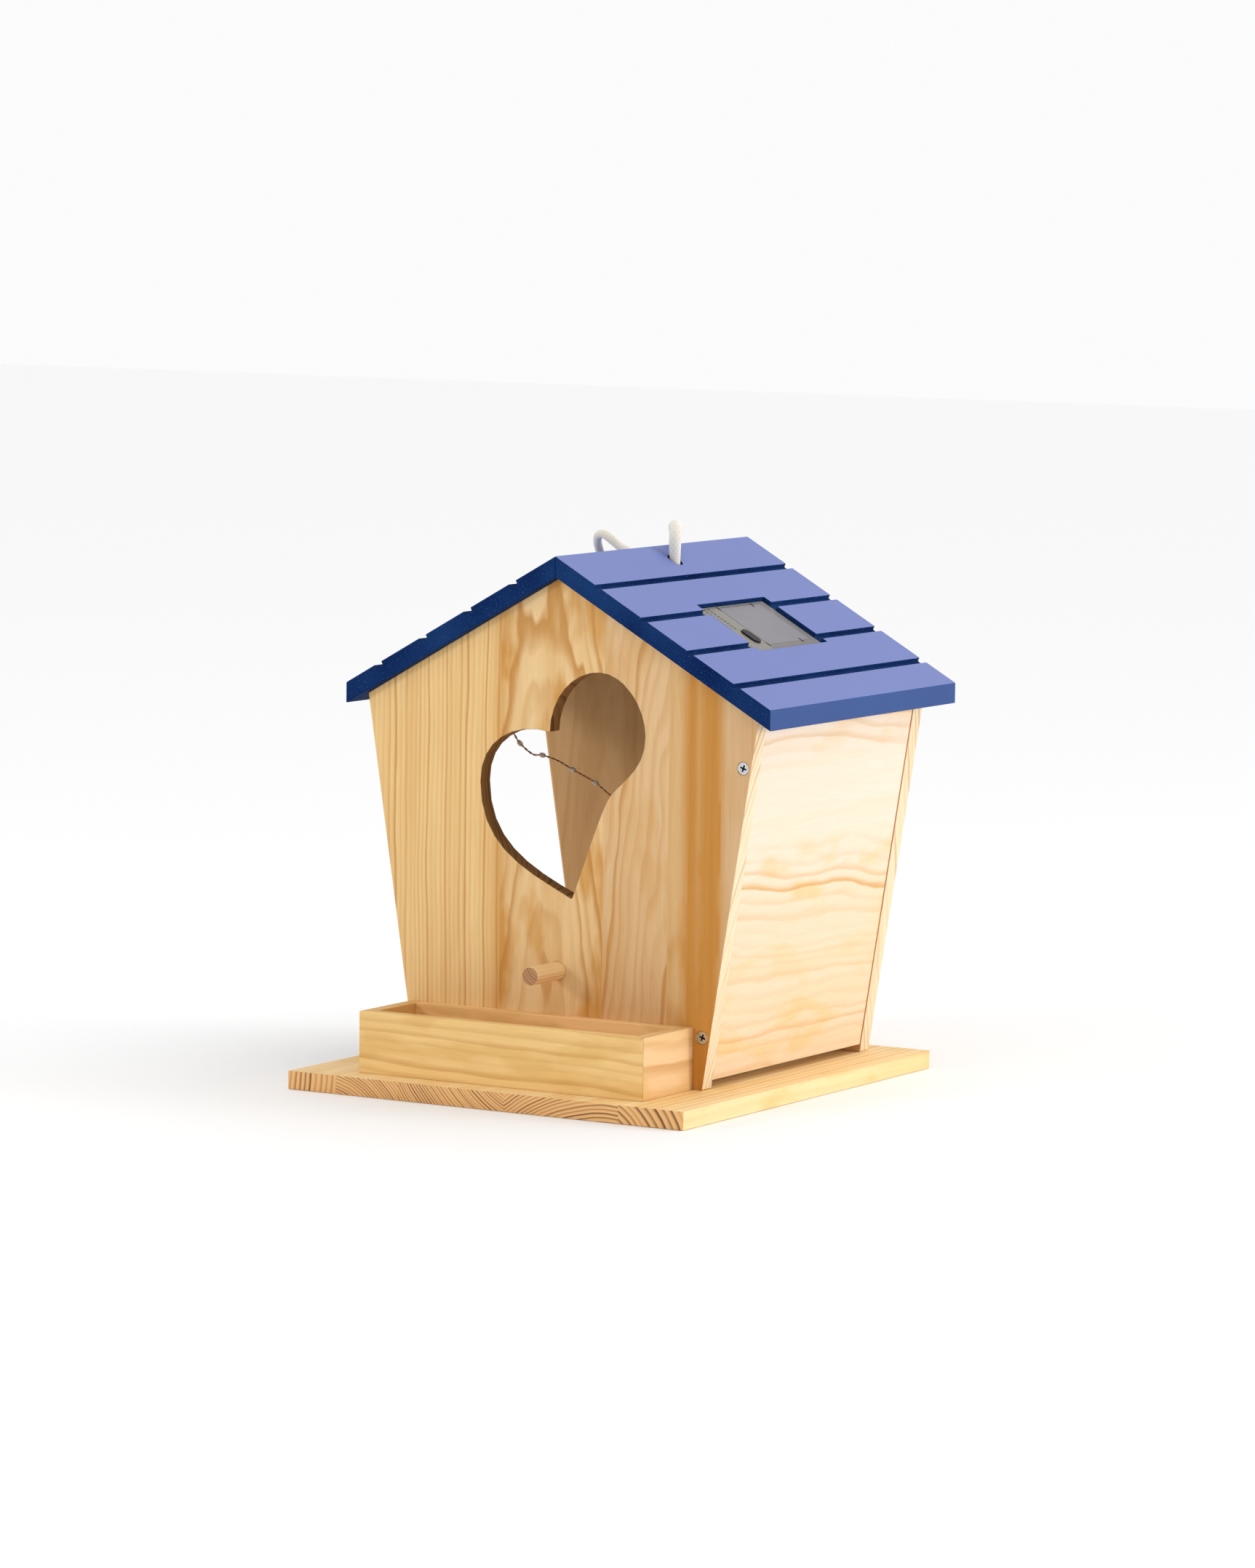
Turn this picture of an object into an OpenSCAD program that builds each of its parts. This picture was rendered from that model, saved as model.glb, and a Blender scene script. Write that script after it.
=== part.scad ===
// Hanging bird feeder: a pine bird house on a square board, with a feeding tray,
// a heart cut in its front, a painted gable roof, a solar light unit and a rope loop.
// Front is -Y, right is +X, up is +Z. The origin is on the ground, under the ridge and
// midway between the base board's front and back ends.

/* [Base] */
// Width of the base board
base_w = 200; // [180:5:240]
// Depth of the base board
base_d = 215; // [200:5:240]
// Sideways distance from under the ridge to the base board's middle
base_x = -3.5; // [-6:0.5:0]
// Thickness of the base, the walls and the roof
board = 8; // [6:0.5:10]

/* [Feeding tray] */
// Width of the tray outside
tray_w = 144; // [110:2:150]
// Depth of the tray outside
tray_d = 41; // [30:1:46]
// Height of the tray boards
tray_h = 27; // [20:1:34]
// Thickness of the tray boards
tray_board = 6; // [4:0.5:7]

/* [House] */
// Front face of the front panel, measured from the base's middle
front_y = -53; // [-56:1:-50]
// Distance from the front panel's front face to the back panel's back face
house_d = 146; // [130:2:150]
// Half width of the panels at the base
panel_half = 73.2; // [68:0.2:76]
// Outward lean of the sides, as sideways travel for each unit of height
side_lean = 0.16; // [0.1:0.01:0.2]
// Drip gap under the side wall
drip_gap = 3.5; // [2:0.5:6]

/* [Roof] */
// Height of the ridge
ridge_z = 234; // [225:1:245]
// Roof slope in degrees
slope = 29.25; // [26:0.25:32]
// Horizontal distance from the ridge to each eave
eave_x = 107.5; // [102:0.5:115]
// Roof length from front to back
roof_d = 164; // [155:1:175]
// Roof overhang in front of the front panel
roof_front = 5; // [2:1:10]
// Spacing of the plank grooves down the slope
groove_pitch = 26.4; // [24:0.2:28]
// Width of a plank groove
groove_w = 3.6; // [2:0.2:5]
// Depth of a plank groove
groove_depth = 1.8; // [1:0.2:3]

/* [Perch and fasteners] */
// Diameter of the perch dowel
perch_dia = 8; // [6:0.5:10]
// Height of the perch above the ground
perch_z = 54; // [50:1:60]
// Free length of the perch in front of the panel
perch_out = 22.5; // [18:0.5:30]
// Head diameter of the countersunk screws
screw_head = 5.6; // [5:0.1:7]

/* [Solar unit] */
// Opening in the roof for the solar unit, down the slope
solar_l = 37; // [34:0.5:40]
// Opening in the roof for the solar unit, along the ridge
solar_w = 58; // [54:0.5:62]
// Distance down the slope from the ridge to the middle of the opening
solar_s = 63.8; // [60:0.2:68]
// Depth of the unit's face below the roof surface
solar_sink = 2; // [1.5:0.5:3]
// Depth of the unit's case
case_h = 20; // [18:1:22]
// Travel of the power button
button_travel = 0.8; // [0.4:0.1:1]

/* [Rope] */
// Diameter of the rope
rope_dia = 5; // [4:0.5:6]
// Diameter of each rope hole
rope_hole_dia = 6.8; // [6.6:0.1:8]
// Distance from the ridge to each rope hole
rope_x = 10; // [9.6:0.2:11]
// Distance of the rope holes behind the base's middle
rope_y = 25.4; // [20:0.2:30]

/* [Hidden] */
$fn = 48;

pine = "#E3BE86";
painted = "#6E82C4";
plastic = "#A8A5A6";

tan_slope = tan(slope);
cos_slope = cos(slope);
roof_plumb = board / cos_slope;         // roof thickness measured straight down
back_y = front_y + house_d;             // back face of the back panel
roof_y = front_y - roof_front;          // front edge of the roof
mid_y = roof_y + roof_d / 2;            // middle of the roof's length
tray_y = front_y - tray_d;              // front face of the tray
under_z = ridge_z - roof_plumb;         // underside of the roof at the ridge
top_half = (panel_half + side_lean * (under_z - board)) / (1 + side_lean * tan_slope);
shoulder_z = under_z - top_half * tan_slope;   // where a panel's side meets the roof

// Places in the solar unit: s runs down the slope and n stands out of the roof.
case_fit = 0.3;
case_l = solar_l - 2 * case_fit;
case_w = solar_w - 2 * case_fit;
case_wall = 1.6;
face_n = -solar_sink;
case_s0 = solar_s - case_l / 2;
case_y0 = mid_y - case_w / 2;
label_w = 15;                           // width of the control strip along the ridge
cover_l = 29.6;
cover_w = case_w - label_w - 6;
cover_s0 = case_s0 + 1.4;
cover_y0 = case_y0 + label_w + 2;
clip_s = [cover_s0 + 0.5, cover_s0 + cover_l - 0.4];
clip_y = [cover_y0 - 0.3, cover_y0 + 28.6];
button_l = 10;
button_w = 5;
button_s = solar_s + 6;
button_y = case_y0 + 11.4;
button_fit = 0.2;
battery_dia = 10.5;
battery_l = 44;
battery_y = mid_y - battery_l / 2;
battery_n = face_n - case_h + 5.8;
battery_s = solar_s - 7;
outlet_n = face_n - 13;

// A point of the right slope's frame in the part's own frame
function slope_point(s, y, n) = [
    s * cos_slope + n * sin(slope), y, ridge_z - s * sin(slope) + n * cos_slope];

// The rope's route from the left knot to the right one: x, y and height.
// Points on the left slope lie a rope's radius above it.
function on_slope(x, y) = [x, y, ridge_z + x * tan_slope + rope_dia / 2 / cos_slope];
rope_route = [
    [-rope_x, rope_y, 214.5], [-rope_x, rope_y, 221], [-10.3, 25.4, 226], [-11.8, 25.3, 229.4],
    [-14.8, 25.2, 231.4], [-18.4, 25.2, 233], [-22.9, 25, 236.1], [-27, 25.8, 238],
    [-31.4, 28.6, 237.2], [-34.4, 32.6, 233.8], [-36.2, 37.4, 229.6], [-38.6, 42, 225],
    on_slope(-43.6, 46.4), on_slope(-52, 46.4), on_slope(-63, 39), on_slope(-73, 26),
    on_slope(-84, 15),
    on_slope(-95, 17), on_slope(-99, 32), on_slope(-95, 50), on_slope(-83, 68),
    on_slope(-65, 81), on_slope(-45, 86), on_slope(-28, 82), on_slope(-18, 73),
    on_slope(-13.4, 66), on_slope(-9.6, 58.5), [-6.4, 53, 234.4], [-3.4, 48, 236.6],
    [0, 43, 239.2], [3.6, 37, 241.7], [6.6, 30.9, 242.4], [9.3, 27, 240],
    [rope_x, rope_y, 235], [rope_x, rope_y, 229], [rope_x, rope_y, 221],
    [rope_x, rope_y, 214.5]];
knot_z = 212;
knot_r = 6.2;

// The light wire's route from the solar case to the staple: x, y and height.
wire_dia = 1.1;
wire_route = [
    slope_point(solar_s, case_y0 + 2, outlet_n), slope_point(solar_s, case_y0 - 3, outlet_n),
    [48, -10, 184], [46.5, -10, 171], [43.5, -9, 156], [37.5, -7, 140], [28, -5, 126],
    [14, -2, 117.6], [4, -1, 118.6], [-6, 0, 124.9], [-14, 0, 130.2], [-19, 0, 132.5],
    [-26, 0, 135.4], [-34, 0, 139], [-41.8, 0, 140.9], [-47, 0, 141.1],
    [-53.6, 0, 145.5], [-57, 0, 149.8], [-63, 1, 156.5], [-70, 3, 163.5],
    [-77, 5, 170.2], [-84, 6, 176.2]];
// Route points that carry a light bead
bead_at = [3, 4, 5, 6, 7, 8, 10, 12, 14, 16, 18, 20];
staple_at = wire_route[len(wire_route) - 1];

// ---- helpers ----

// Turns children into the right roof slope: X runs down the slope, Z stands out of it.
module on_right_slope() {
    translate([0, 0, ridge_z]) rotate([0, slope, 0]) children();
}

// Extrudes an outline drawn in X and Z by a length along +Y.
module upright(length) {
    rotate([90, 0, 0]) mirror([0, 0, 1]) linear_extrude(length) children();
}

// A box given by its lowest corner and its size in the slope's frame.
module slope_box(s, y, n, size) {
    translate([s, y, n]) cube(size);
}

// Stadium outline centred on the origin, long along X.
module stadium(length, width) {
    square([length - width, width], center = true);
    for (side = [-1, 1]) {
        translate([side * (length - width) / 2, 0]) circle(d = width);
    }
}

// Countersunk screw that points along +Z with its head's face at z = 0.
screw_shank = 2.8;
module screw_body(length) {
    cylinder(d1 = screw_head, d2 = screw_shank, h = 1.8);
    cylinder(d = screw_shank, h = length - 2);
    translate([0, 0, length - 2]) cylinder(d1 = screw_shank, d2 = 0.8, h = 2);
}

module cross_recess() {
    for (turn = [0, 90]) {
        rotate([0, 0, turn + 20]) translate([-1.5, -0.35, -1]) cube([3, 0.7, 2.1]);
    }
}

module screw(length) {
    difference() {
        screw_body(length);
        cross_recess();
    }
}

// Places children at the four wall screws, pointing into the side wall's ends.
wall_screw_z = [30.8, 147.6];
wall_screw_l = 24;
module at_wall_screws() {
    for (z = wall_screw_z) {
        x = panel_half + side_lean * (z - board) - board / 2;
        translate([x, front_y + 0.3, z]) rotate([-90, 0, 0]) children();
        translate([x, back_y - 0.3, z]) rotate([90, 0, 0]) children();
    }
}

// Places children at the base screws, pointing up into the two panels.
base_screw_l = 24;
module at_base_screws() {
    for (x = [-52, 0, 52], y = [front_y + board / 2, back_y - board / 2]) {
        translate([x, y, 0.3]) children();
    }
}

// Vectors for the swept tubes
function unit(v) = v / norm(v);
function last(v) = v[len(v) - 1];
// A smooth point between b and c, with a and d as their neighbours
function blend(a, b, c, d, t) =
    0.5 * ((2 * b) + (c - a) * t + (2 * a - 5 * b + 4 * c - d) * t * t
        + (3 * b - a - 3 * c + d) * t * t * t);
function at(route, i) = route[max(0, min(len(route) - 1, i))];
// The route with extra smooth points between its own
function smooth(route, steps) = [
    for (i = [0 : len(route) - 2], k = [0 : steps - 1])
        blend(at(route, i - 1), route[i], route[i + 1], at(route, i + 2), k / steps),
    last(route)];
function heading(path, i) = unit(at(path, i + 1) - at(path, i - 1));
// Side vectors carried along the path without twisting
function sides(path, i = 0, side = undef) =
    let(
        h = heading(path, i),
        start = is_undef(side) ? (abs(h[2]) > 0.9 ? [1, 0, 0] : [0, 0, 1]) : side,
        s = unit(start - (start * h) * h)
    )
    i == len(path) - 1 ? [s] : concat([s], sides(path, i + 1, s));

// A round tube along a path of points
module tube(path, dia, corners) {
    across = sides(path);
    last_ring = len(path) - 1;
    rings = [for (i = [0 : last_ring]) let(s = across[i], u = cross(heading(path, i), s))
        for (k = [0 : corners - 1]) let(turn = 360 * k / corners)
            path[i] + dia / 2 * (cos(turn) * s + sin(turn) * u)];
    walls = [for (i = [0 : last_ring - 1], k = [0 : corners - 1])
        let(a = i * corners + k, b = i * corners + (k + 1) % corners)
        [a, a + corners, b + corners, b]];
    first_cap = [for (k = [0 : corners - 1]) k];
    last_cap = [for (k = [corners - 1 : -1 : 0]) last_ring * corners + k];
    polyhedron(concat(rings), concat(walls, [first_cap, last_cap]));
}

// ---- outlines ----

// Front and back panels: leaning sides under a gable
module panel_outline() {
    polygon([
        [-panel_half, board], [panel_half, board],
        [top_half, shoulder_z], [0, under_z], [-top_half, shoulder_z]]);
}

// One curved stretch of the heart between two end points and their handles
function curve(a, b, c, d, steps = 8) = [
    for (k = [0 : steps - 1]) let(t = k / steps, u = 1 - t)
        u * u * u * a + 3 * u * u * t * b + 3 * u * t * t * c + t * t * t * d];

// The heart: a tall right lobe with a hollow below it and a low, full left lobe
module heart_outline() {
    tip = [7, 86];
    neck = [24, 129];
    right = [43, 158];
    top = [20, 184.5];
    notch = [-5, 157.5];
    left = [-40.3, 134];
    polygon(concat(
        curve(tip, [13, 101], [18, 117], neck),
        curve(neck, [28, 137], [43, 142], right),
        curve(right, [43, 171], [32, 184.5], top),
        curve(top, [6, 184.5], [-5, 172], notch),
        curve(notch, [-24, 161], [-40.5, 152], left),
        curve(left, [-40, 108], [-22, 98], tip)));
}

// ---- base and tray ----

module base_board() {
    color(pine) difference() {
        translate([base_x - base_w / 2, -base_d / 2, 0]) cube([base_w, base_d, board]);
        at_base_screws() screw_body(base_screw_l);
        at_base_screws() translate([0, 0, -1]) cylinder(d = screw_head, h = 1);
    }
}

// The tray's corners are mitred in front. Its ends run back to the front panel.
module tray_part(outline) {
    color(pine) translate([base_x, tray_y, board]) linear_extrude(tray_h) polygon(outline);
}

module tray_front_board() {
    half = tray_w / 2;
    tray_part([[-half, 0], [half, 0], [half - tray_board, tray_board],
        [tray_board - half, tray_board]]);
}

module tray_back_board() {
    half = tray_w / 2 - tray_board;
    tray_part([[-half, tray_d - tray_board], [half, tray_d - tray_board], [half, tray_d],
        [-half, tray_d]]);
}

// side is -1 for the left end and 1 for the right one.
module tray_end(side) {
    outer = side * tray_w / 2;
    inner = side * (tray_w / 2 - tray_board);
    tray_part([[outer, 0], [inner, tray_board], [inner, tray_d], [outer, tray_d]]);
}

module tray_end_left() {
    tray_end(-1);
}

module tray_end_right() {
    tray_end(1);
}

// ---- house ----

module front_panel() {
    color(pine) difference() {
        translate([0, front_y, 0]) upright(board) panel_outline();
        translate([0, front_y - 1, 0]) upright(board + 2) heart_outline();
        translate([0, front_y - 1, perch_z]) rotate([-90, 0, 0])
            cylinder(d = perch_dia, h = board + 2);
        wall_screw_holes();
        at_base_screws() screw_body(base_screw_l);
    }
}

// The back panel's inner edge on the open side is eased by a small bevel.
ease = 1.6;
module back_panel() {
    color(pine) difference() {
        translate([0, back_y - board, 0]) upright(board) panel_outline();
        wall_screw_holes();
        at_base_screws() screw_body(base_screw_l);
        eased_edge();
    }
}

module eased_edge() {
    lean = atan(side_lean);
    translate([-panel_half, back_y - board, board]) rotate([0, -lean, 0])
        rotate([0, 0, 45]) translate([-ease / sqrt(2), -ease / sqrt(2), -20])
        cube([ease * sqrt(2), ease * sqrt(2), 240]);
}

module wall_screw_holes() {
    at_wall_screws() screw_body(wall_screw_l);
    at_wall_screws() translate([0, 0, -1]) cylinder(d = screw_head, h = 1);
}

// The right wall stands between the panels, above a drip gap.
wall_inset = 0.5;
module side_wall() {
    outer = panel_half - wall_inset;
    inner = outer - board * sqrt(1 + side_lean * side_lean);
    low_z = board + drip_gap;
    function x_at(edge, z) = edge + side_lean * (z - board);
    function meet(edge) = (edge + side_lean * (under_z - board)) / (1 + side_lean * tan_slope);
    color(pine) difference() {
        translate([0, front_y + board, 0]) upright(house_d - 2 * board) polygon([
            [x_at(inner, low_z), low_z], [x_at(outer, low_z), low_z],
            [meet(outer), under_z - meet(outer) * tan_slope],
            [meet(inner), under_z - meet(inner) * tan_slope]]);
        wall_screw_holes();
    }
}

module perch_dowel() {
    color(pine) translate([0, front_y - perch_out, perch_z]) rotate([-90, 0, 0])
        cylinder(d = perch_dia, h = perch_out + board + 1);
}

module wall_screws() {
    color("silver") at_wall_screws() screw(wall_screw_l);
}

module base_screws() {
    color("silver") at_base_screws() screw(base_screw_l);
}

// ---- roof ----

// One roof half with plumb edges, drawn for the right side
module roof_half() {
    difference() {
        translate([0, roof_y, 0]) upright(roof_d) polygon([
            [0, ridge_z], [0, under_z],
            [eave_x, under_z - eave_x * tan_slope], [eave_x, ridge_z - eave_x * tan_slope]]);
        on_right_slope() for (k = [1 : 4]) {
            s = k * groove_pitch - 1.4 - groove_w / 2;
            slope_box(s, roof_y - 1, -groove_depth, [groove_w, roof_d + 2, groove_depth + 2]);
        }
        translate([rope_x, rope_y, under_z - 20]) cylinder(d = rope_hole_dia, h = 40);
    }
}

// The left half is the right one turned over the ridge.
module mirrored_over_ridge() {
    mirror([1, 0, 0]) children();
}

module roof_left() {
    color(painted) mirrored_over_ridge() roof_half();
}

module roof_right() {
    color(painted) difference() {
        roof_half();
        on_right_slope() slope_box(solar_s - solar_l / 2, mid_y - solar_w / 2, -board - 3,
            [solar_l, solar_w, board + 6]);
    }
}

// ---- rope ----

module rope_loop() {
    color("#EEE9DF") tube(rope_route, rope_dia, 8);
}

module rope_knot() {
    difference() {
        translate([rope_x, rope_y, knot_z]) sphere(r = knot_r);
        translate([rope_x - knot_r, rope_y - knot_r, last(rope_route)[2]])
            cube([2 * knot_r, 2 * knot_r, knot_r * 2]);
    }
}

module rope_knot_left() {
    color("#EEE9DF") mirrored_over_ridge() rope_knot();
}

module rope_knot_right() {
    color("#EEE9DF") rope_knot();
}

// ---- solar unit ----

// Open-bottomed case with a face that holds the cover, the label and the button
case_face = 1.6;
pocket = 1;
boss_dia = 4.4;
module solar_case() {
    color(plastic) on_right_slope() difference() {
        union() {
            case_shell();
            for (y = lid_screw_y) {
                translate([lid_screw_s, y, face_n - case_h])
                    cylinder(d = boss_dia, h = case_h - pocket);
            }
        }
        slope_box(cover_s0, cover_y0, face_n - pocket, [cover_l, cover_w, pocket + 1]);
        slope_box(case_s0 + 1.2, case_y0 + 1.2, face_n - 0.4,
            [case_l - 2.4, label_w, 2]);
        translate([button_s, button_y, face_n - 5]) linear_extrude(6)
            stadium(button_l + 2 * button_fit, button_w + 2 * button_fit);
        wire_outlet();
        clip_slots();
        at_lid_screws() screw_hole();
    }
}

// The case's walls and its face, with a window under the solar cell
module case_shell() {
    difference() {
        slope_box(case_s0, case_y0, face_n - case_h, [case_l, case_w, case_h]);
        slope_box(case_s0 + case_wall, case_y0 + case_wall, face_n - case_h - 1,
            [case_l - 2 * case_wall, case_w - 2 * case_wall,
            case_h + 1 - case_face - pocket]);
        slope_box(cover_s0 + 2, cover_y0 + 2, face_n - 5, [cover_l - 4, cover_w - 8, 6]);
    }
}

// Hole in the case's front wall for the light wire
module wire_outlet() {
    translate([solar_s, case_y0 - 1, outlet_n]) rotate([-90, 0, 0])
        cylinder(d = 1.3, h = case_wall + 2);
}

// Four small slots at the cover's corners, where its clips snap in
module clip_slots() {
    for (s = clip_s, y = clip_y) {
        slope_box(s - 1.5, y - 0.5, face_n - pocket - 0.9, [3, 1, 3]);
    }
}

module case_lid() {
    color(plastic) on_right_slope() difference() {
        slope_box(case_s0, case_y0, face_n - case_h - 1.6, [case_l, case_w, 1.6]);
        at_lid_screws() screw_hole();
    }
}

lid_screw_n = face_n - case_h - 1.6;
lid_screw_s = solar_s + 9;
lid_screw_y = [case_y0 + 3.6, case_y0 + case_w - 3.6];
module at_lid_screws() {
    for (y = lid_screw_y) {
        translate([lid_screw_s, y, lid_screw_n + 0.1]) children();
    }
}

module screw_hole() {
    cylinder(d1 = 3.6, d2 = 1.8, h = 1);
    cylinder(d = 1.8, h = 4);
    translate([0, 0, -1]) cylinder(d = 3.6, h = 1);
}

module lid_screws() {
    color("silver") on_right_slope() at_lid_screws() difference() {
        union() {
            cylinder(d1 = 3.6, d2 = 1.8, h = 1);
            cylinder(d = 1.8, h = 5);
        }
        for (turn = [0, 90]) {
            rotate([0, 0, turn]) translate([-1, -0.25, -1]) cube([2, 0.5, 1.6]);
        }
    }
}

module solar_cell() {
    color("#6F7078") on_right_slope() slope_box(cover_s0 + 2.2, cover_y0 + 2.2,
        face_n - 2.2, [cover_l - 4.4, cover_w - 8.4, 1.2]);
}

module cell_cover() {
    color("#A9A6A9", 0.6) on_right_slope() difference() {
        slope_box(cover_s0 + 0.1, cover_y0 + 0.1, face_n - pocket,
            [cover_l - 0.2, cover_w - 0.2, pocket]);
        clip_slots();
    }
}

module control_label() {
    color("#B9B6B3") on_right_slope() difference() {
        slope_box(case_s0 + 1.3, case_y0 + 1.3, face_n - 0.4,
            [case_l - 2.6, label_w - 0.2, 0.4]);
        translate([button_s, button_y, face_n - 1]) linear_extrude(2)
            stadium(button_l + 2 * button_fit, button_w + 2 * button_fit);
        clip_slots();
    }
}

module power_button() {
    color("#1B1B1D") on_right_slope() translate([button_s, button_y, face_n - 3.4]) {
        linear_extrude(4.2) stadium(button_l, button_w);
        translate([0, 0, -0.8]) linear_extrude(0.8) stadium(button_l + 1.6, button_w + 1.6);
    }
}

module circuit_board() {
    color("#2F6B45") on_right_slope() {
        slope_box(case_s0 + 3, case_y0 + 6.3, face_n - 8.6, [case_l - 6, 16, 1.2]);
        slope_box(button_s - 2, button_y - 2, face_n - 7.4, [4, 4, 1.9]);
    }
}

module battery() {
    color("#3A6E9E") on_right_slope() translate([battery_s, battery_y, battery_n])
        rotate([-90, 0, 0]) {
            cylinder(d = battery_dia, h = battery_l - 1);
            cylinder(d = 3.6, h = battery_l);
        }
}

module contact_spring() {
    color("silver") on_right_slope() {
        translate([battery_s, battery_y - 3.2, battery_n]) rotate([-90, 0, 0])
            cylinder(d1 = 7, d2 = 4, h = 3.2);
        slope_box(battery_s - 4, battery_y - 3.7, battery_n - 4, [8, 0.5, 8]);
    }
}

module contact_plate() {
    color("silver") on_right_slope() slope_box(battery_s - 4, battery_y + battery_l,
        battery_n - 4, [8, 0.5, 8]);
}

// ---- lights ----

module light_wire() {
    color("#B5763C") tube(smooth(wire_route, 2), wire_dia, 8);
}

module light_beads() {
    color("#E9E4D2") for (i = bead_at) {
        h = heading(wire_route, i);
        translate(wire_route[i]) rotate([0, acos(h[2]), atan2(h[1], h[0])]) bead();
    }
}

// A drop of clear resin round the wire
module bead() {
    rotate_extrude($fn = 24) polygon([
        [0, -1.7], [0.7, -1.5], [1.1, -0.9], [1.2, 0], [1.1, 0.9], [0.7, 1.5], [0, 1.7]]);
}

// Staple that holds the wire's end under the left roof half
module wire_staple() {
    wire = 0.7;
    color("silver") translate(staple_at) rotate([0, -slope, 0]) {
        translate([-2.6, 0, -0.9]) rotate([0, 90, 0]) cylinder(d = wire, h = 5.2, $fn = 16);
        for (x = [-2.4, 2.4]) {
            translate([x, 0, -0.9]) cylinder(d = wire, h = 5, $fn = 16);
        }
    }
}

base_board();
tray_front_board();
tray_back_board();
tray_end_left();
tray_end_right();
front_panel();
back_panel();
side_wall();
perch_dowel();
wall_screws();
base_screws();
roof_left();
roof_right();
rope_loop();
rope_knot_left();
rope_knot_right();
solar_case();
case_lid();
lid_screws();
solar_cell();
cell_cover();
control_label();
power_button();
circuit_board();
battery();
contact_spring();
contact_plate();
light_wire();
light_beads();
wire_staple();
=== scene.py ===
"""Hanging bird feeder: a pine house with a heart opening, a tray and a painted gable roof.

It has a solar light string inside and a rope loop through the roof.
"""

import math

import bpy
from mathutils import Matrix, Vector


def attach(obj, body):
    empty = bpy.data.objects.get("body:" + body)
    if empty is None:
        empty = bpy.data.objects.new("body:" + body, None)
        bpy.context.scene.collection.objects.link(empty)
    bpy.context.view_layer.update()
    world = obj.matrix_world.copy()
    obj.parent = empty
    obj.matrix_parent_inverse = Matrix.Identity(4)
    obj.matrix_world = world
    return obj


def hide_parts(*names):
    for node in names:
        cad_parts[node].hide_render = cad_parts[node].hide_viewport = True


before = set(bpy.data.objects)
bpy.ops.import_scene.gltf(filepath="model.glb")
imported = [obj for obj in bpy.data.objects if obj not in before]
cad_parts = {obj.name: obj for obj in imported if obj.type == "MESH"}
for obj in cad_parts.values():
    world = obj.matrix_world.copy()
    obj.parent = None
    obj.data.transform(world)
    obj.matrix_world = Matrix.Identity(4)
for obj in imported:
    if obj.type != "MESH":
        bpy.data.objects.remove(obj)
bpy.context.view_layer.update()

MM = 0.001

# Main sizes of the feeder, in millimetres
RIDGE_Z = 234
SLOPE = math.radians(29.25)
ROPE_D = 5
# the rope's holes beside the ridge
ROPE_X = 10
ROPE_Y = 25.4
# the solar unit: its middle down the slope, its front end and its face below the roof
SOLAR_S = 63.8
CASE_Y = -4.7
FACE_N = -2
# box round the heart opening, and a place outside which only the panels' long edges lie
HEART_HALF_W = 46
HEART_LOW = 84
HEART_HIGH = 187
PANEL_EDGE_X = 60
EAVE_X = 107


def slope_point(s, y, n):
    """A point given down the right slope, along the ridge and out of the roof, in millimetres."""
    return Vector((
        s * math.cos(SLOPE) + n * math.sin(SLOPE),
        y,
        RIDGE_Z - s * math.sin(SLOPE) + n * math.cos(SLOPE),
    ))


def on_left_slope(x, y):
    """Centre of the rope where it lies on the left slope."""
    return Vector((x, y, RIDGE_Z + x * math.tan(SLOPE) + ROPE_D / 2 / math.cos(SLOPE)))


# ---- camera ----


def make_camera():
    data = bpy.data.cameras.new("camera")
    data.sensor_width = 36
    data.lens = 146.95
    data.clip_start = 0.1
    data.clip_end = 50
    camera = bpy.data.objects.new("camera", data)
    bpy.context.collection.objects.link(camera)
    camera.matrix_world = (
        Matrix.Translation((1.4492, -2.3853, 0.4259))
        @ Matrix.Rotation(math.radians(31.241), 4, "Z")
        @ Matrix.Rotation(math.radians(90 - 6.036), 4, "X")
        @ Matrix.Rotation(math.radians(0.603), 4, "Z")
    )
    bpy.context.scene.camera = camera


make_camera()


# ---- cords ----

rope_route = [
    Vector((-ROPE_X, ROPE_Y, 214.5)),
    Vector((-ROPE_X, ROPE_Y, 221)),
    Vector((-10.3, 25.4, 226)),
    Vector((-11.8, 25.3, 229.4)),
    Vector((-14.8, 25.2, 231.4)),
    Vector((-18.4, 25.2, 233)),
    Vector((-22.9, 25, 236.1)),
    Vector((-27, 25.8, 238)),
    Vector((-31.4, 28.6, 237.2)),
    Vector((-34.4, 32.6, 233.8)),
    Vector((-36.2, 37.4, 229.6)),
    Vector((-38.6, 42, 225)),
    on_left_slope(-43.6, 46.4),
    on_left_slope(-52, 46.4),
    on_left_slope(-63, 39),
    on_left_slope(-73, 26),
    on_left_slope(-84, 15),
    on_left_slope(-95, 17),
    on_left_slope(-99, 32),
    on_left_slope(-95, 50),
    on_left_slope(-83, 68),
    on_left_slope(-65, 81),
    on_left_slope(-45, 86),
    on_left_slope(-28, 82),
    on_left_slope(-18, 73),
    on_left_slope(-13.4, 66),
    on_left_slope(-9.6, 58.5),
    Vector((-6.4, 53, 234.4)),
    Vector((-3.4, 48, 236.6)),
    Vector((0, 43, 239.2)),
    Vector((3.6, 37, 241.7)),
    Vector((6.6, 30.9, 242.4)),
    Vector((9.3, 27, 240)),
    Vector((ROPE_X, ROPE_Y, 235)),
    Vector((ROPE_X, ROPE_Y, 229)),
    Vector((ROPE_X, ROPE_Y, 221)),
    Vector((ROPE_X, ROPE_Y, 214.5)),
]

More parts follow.
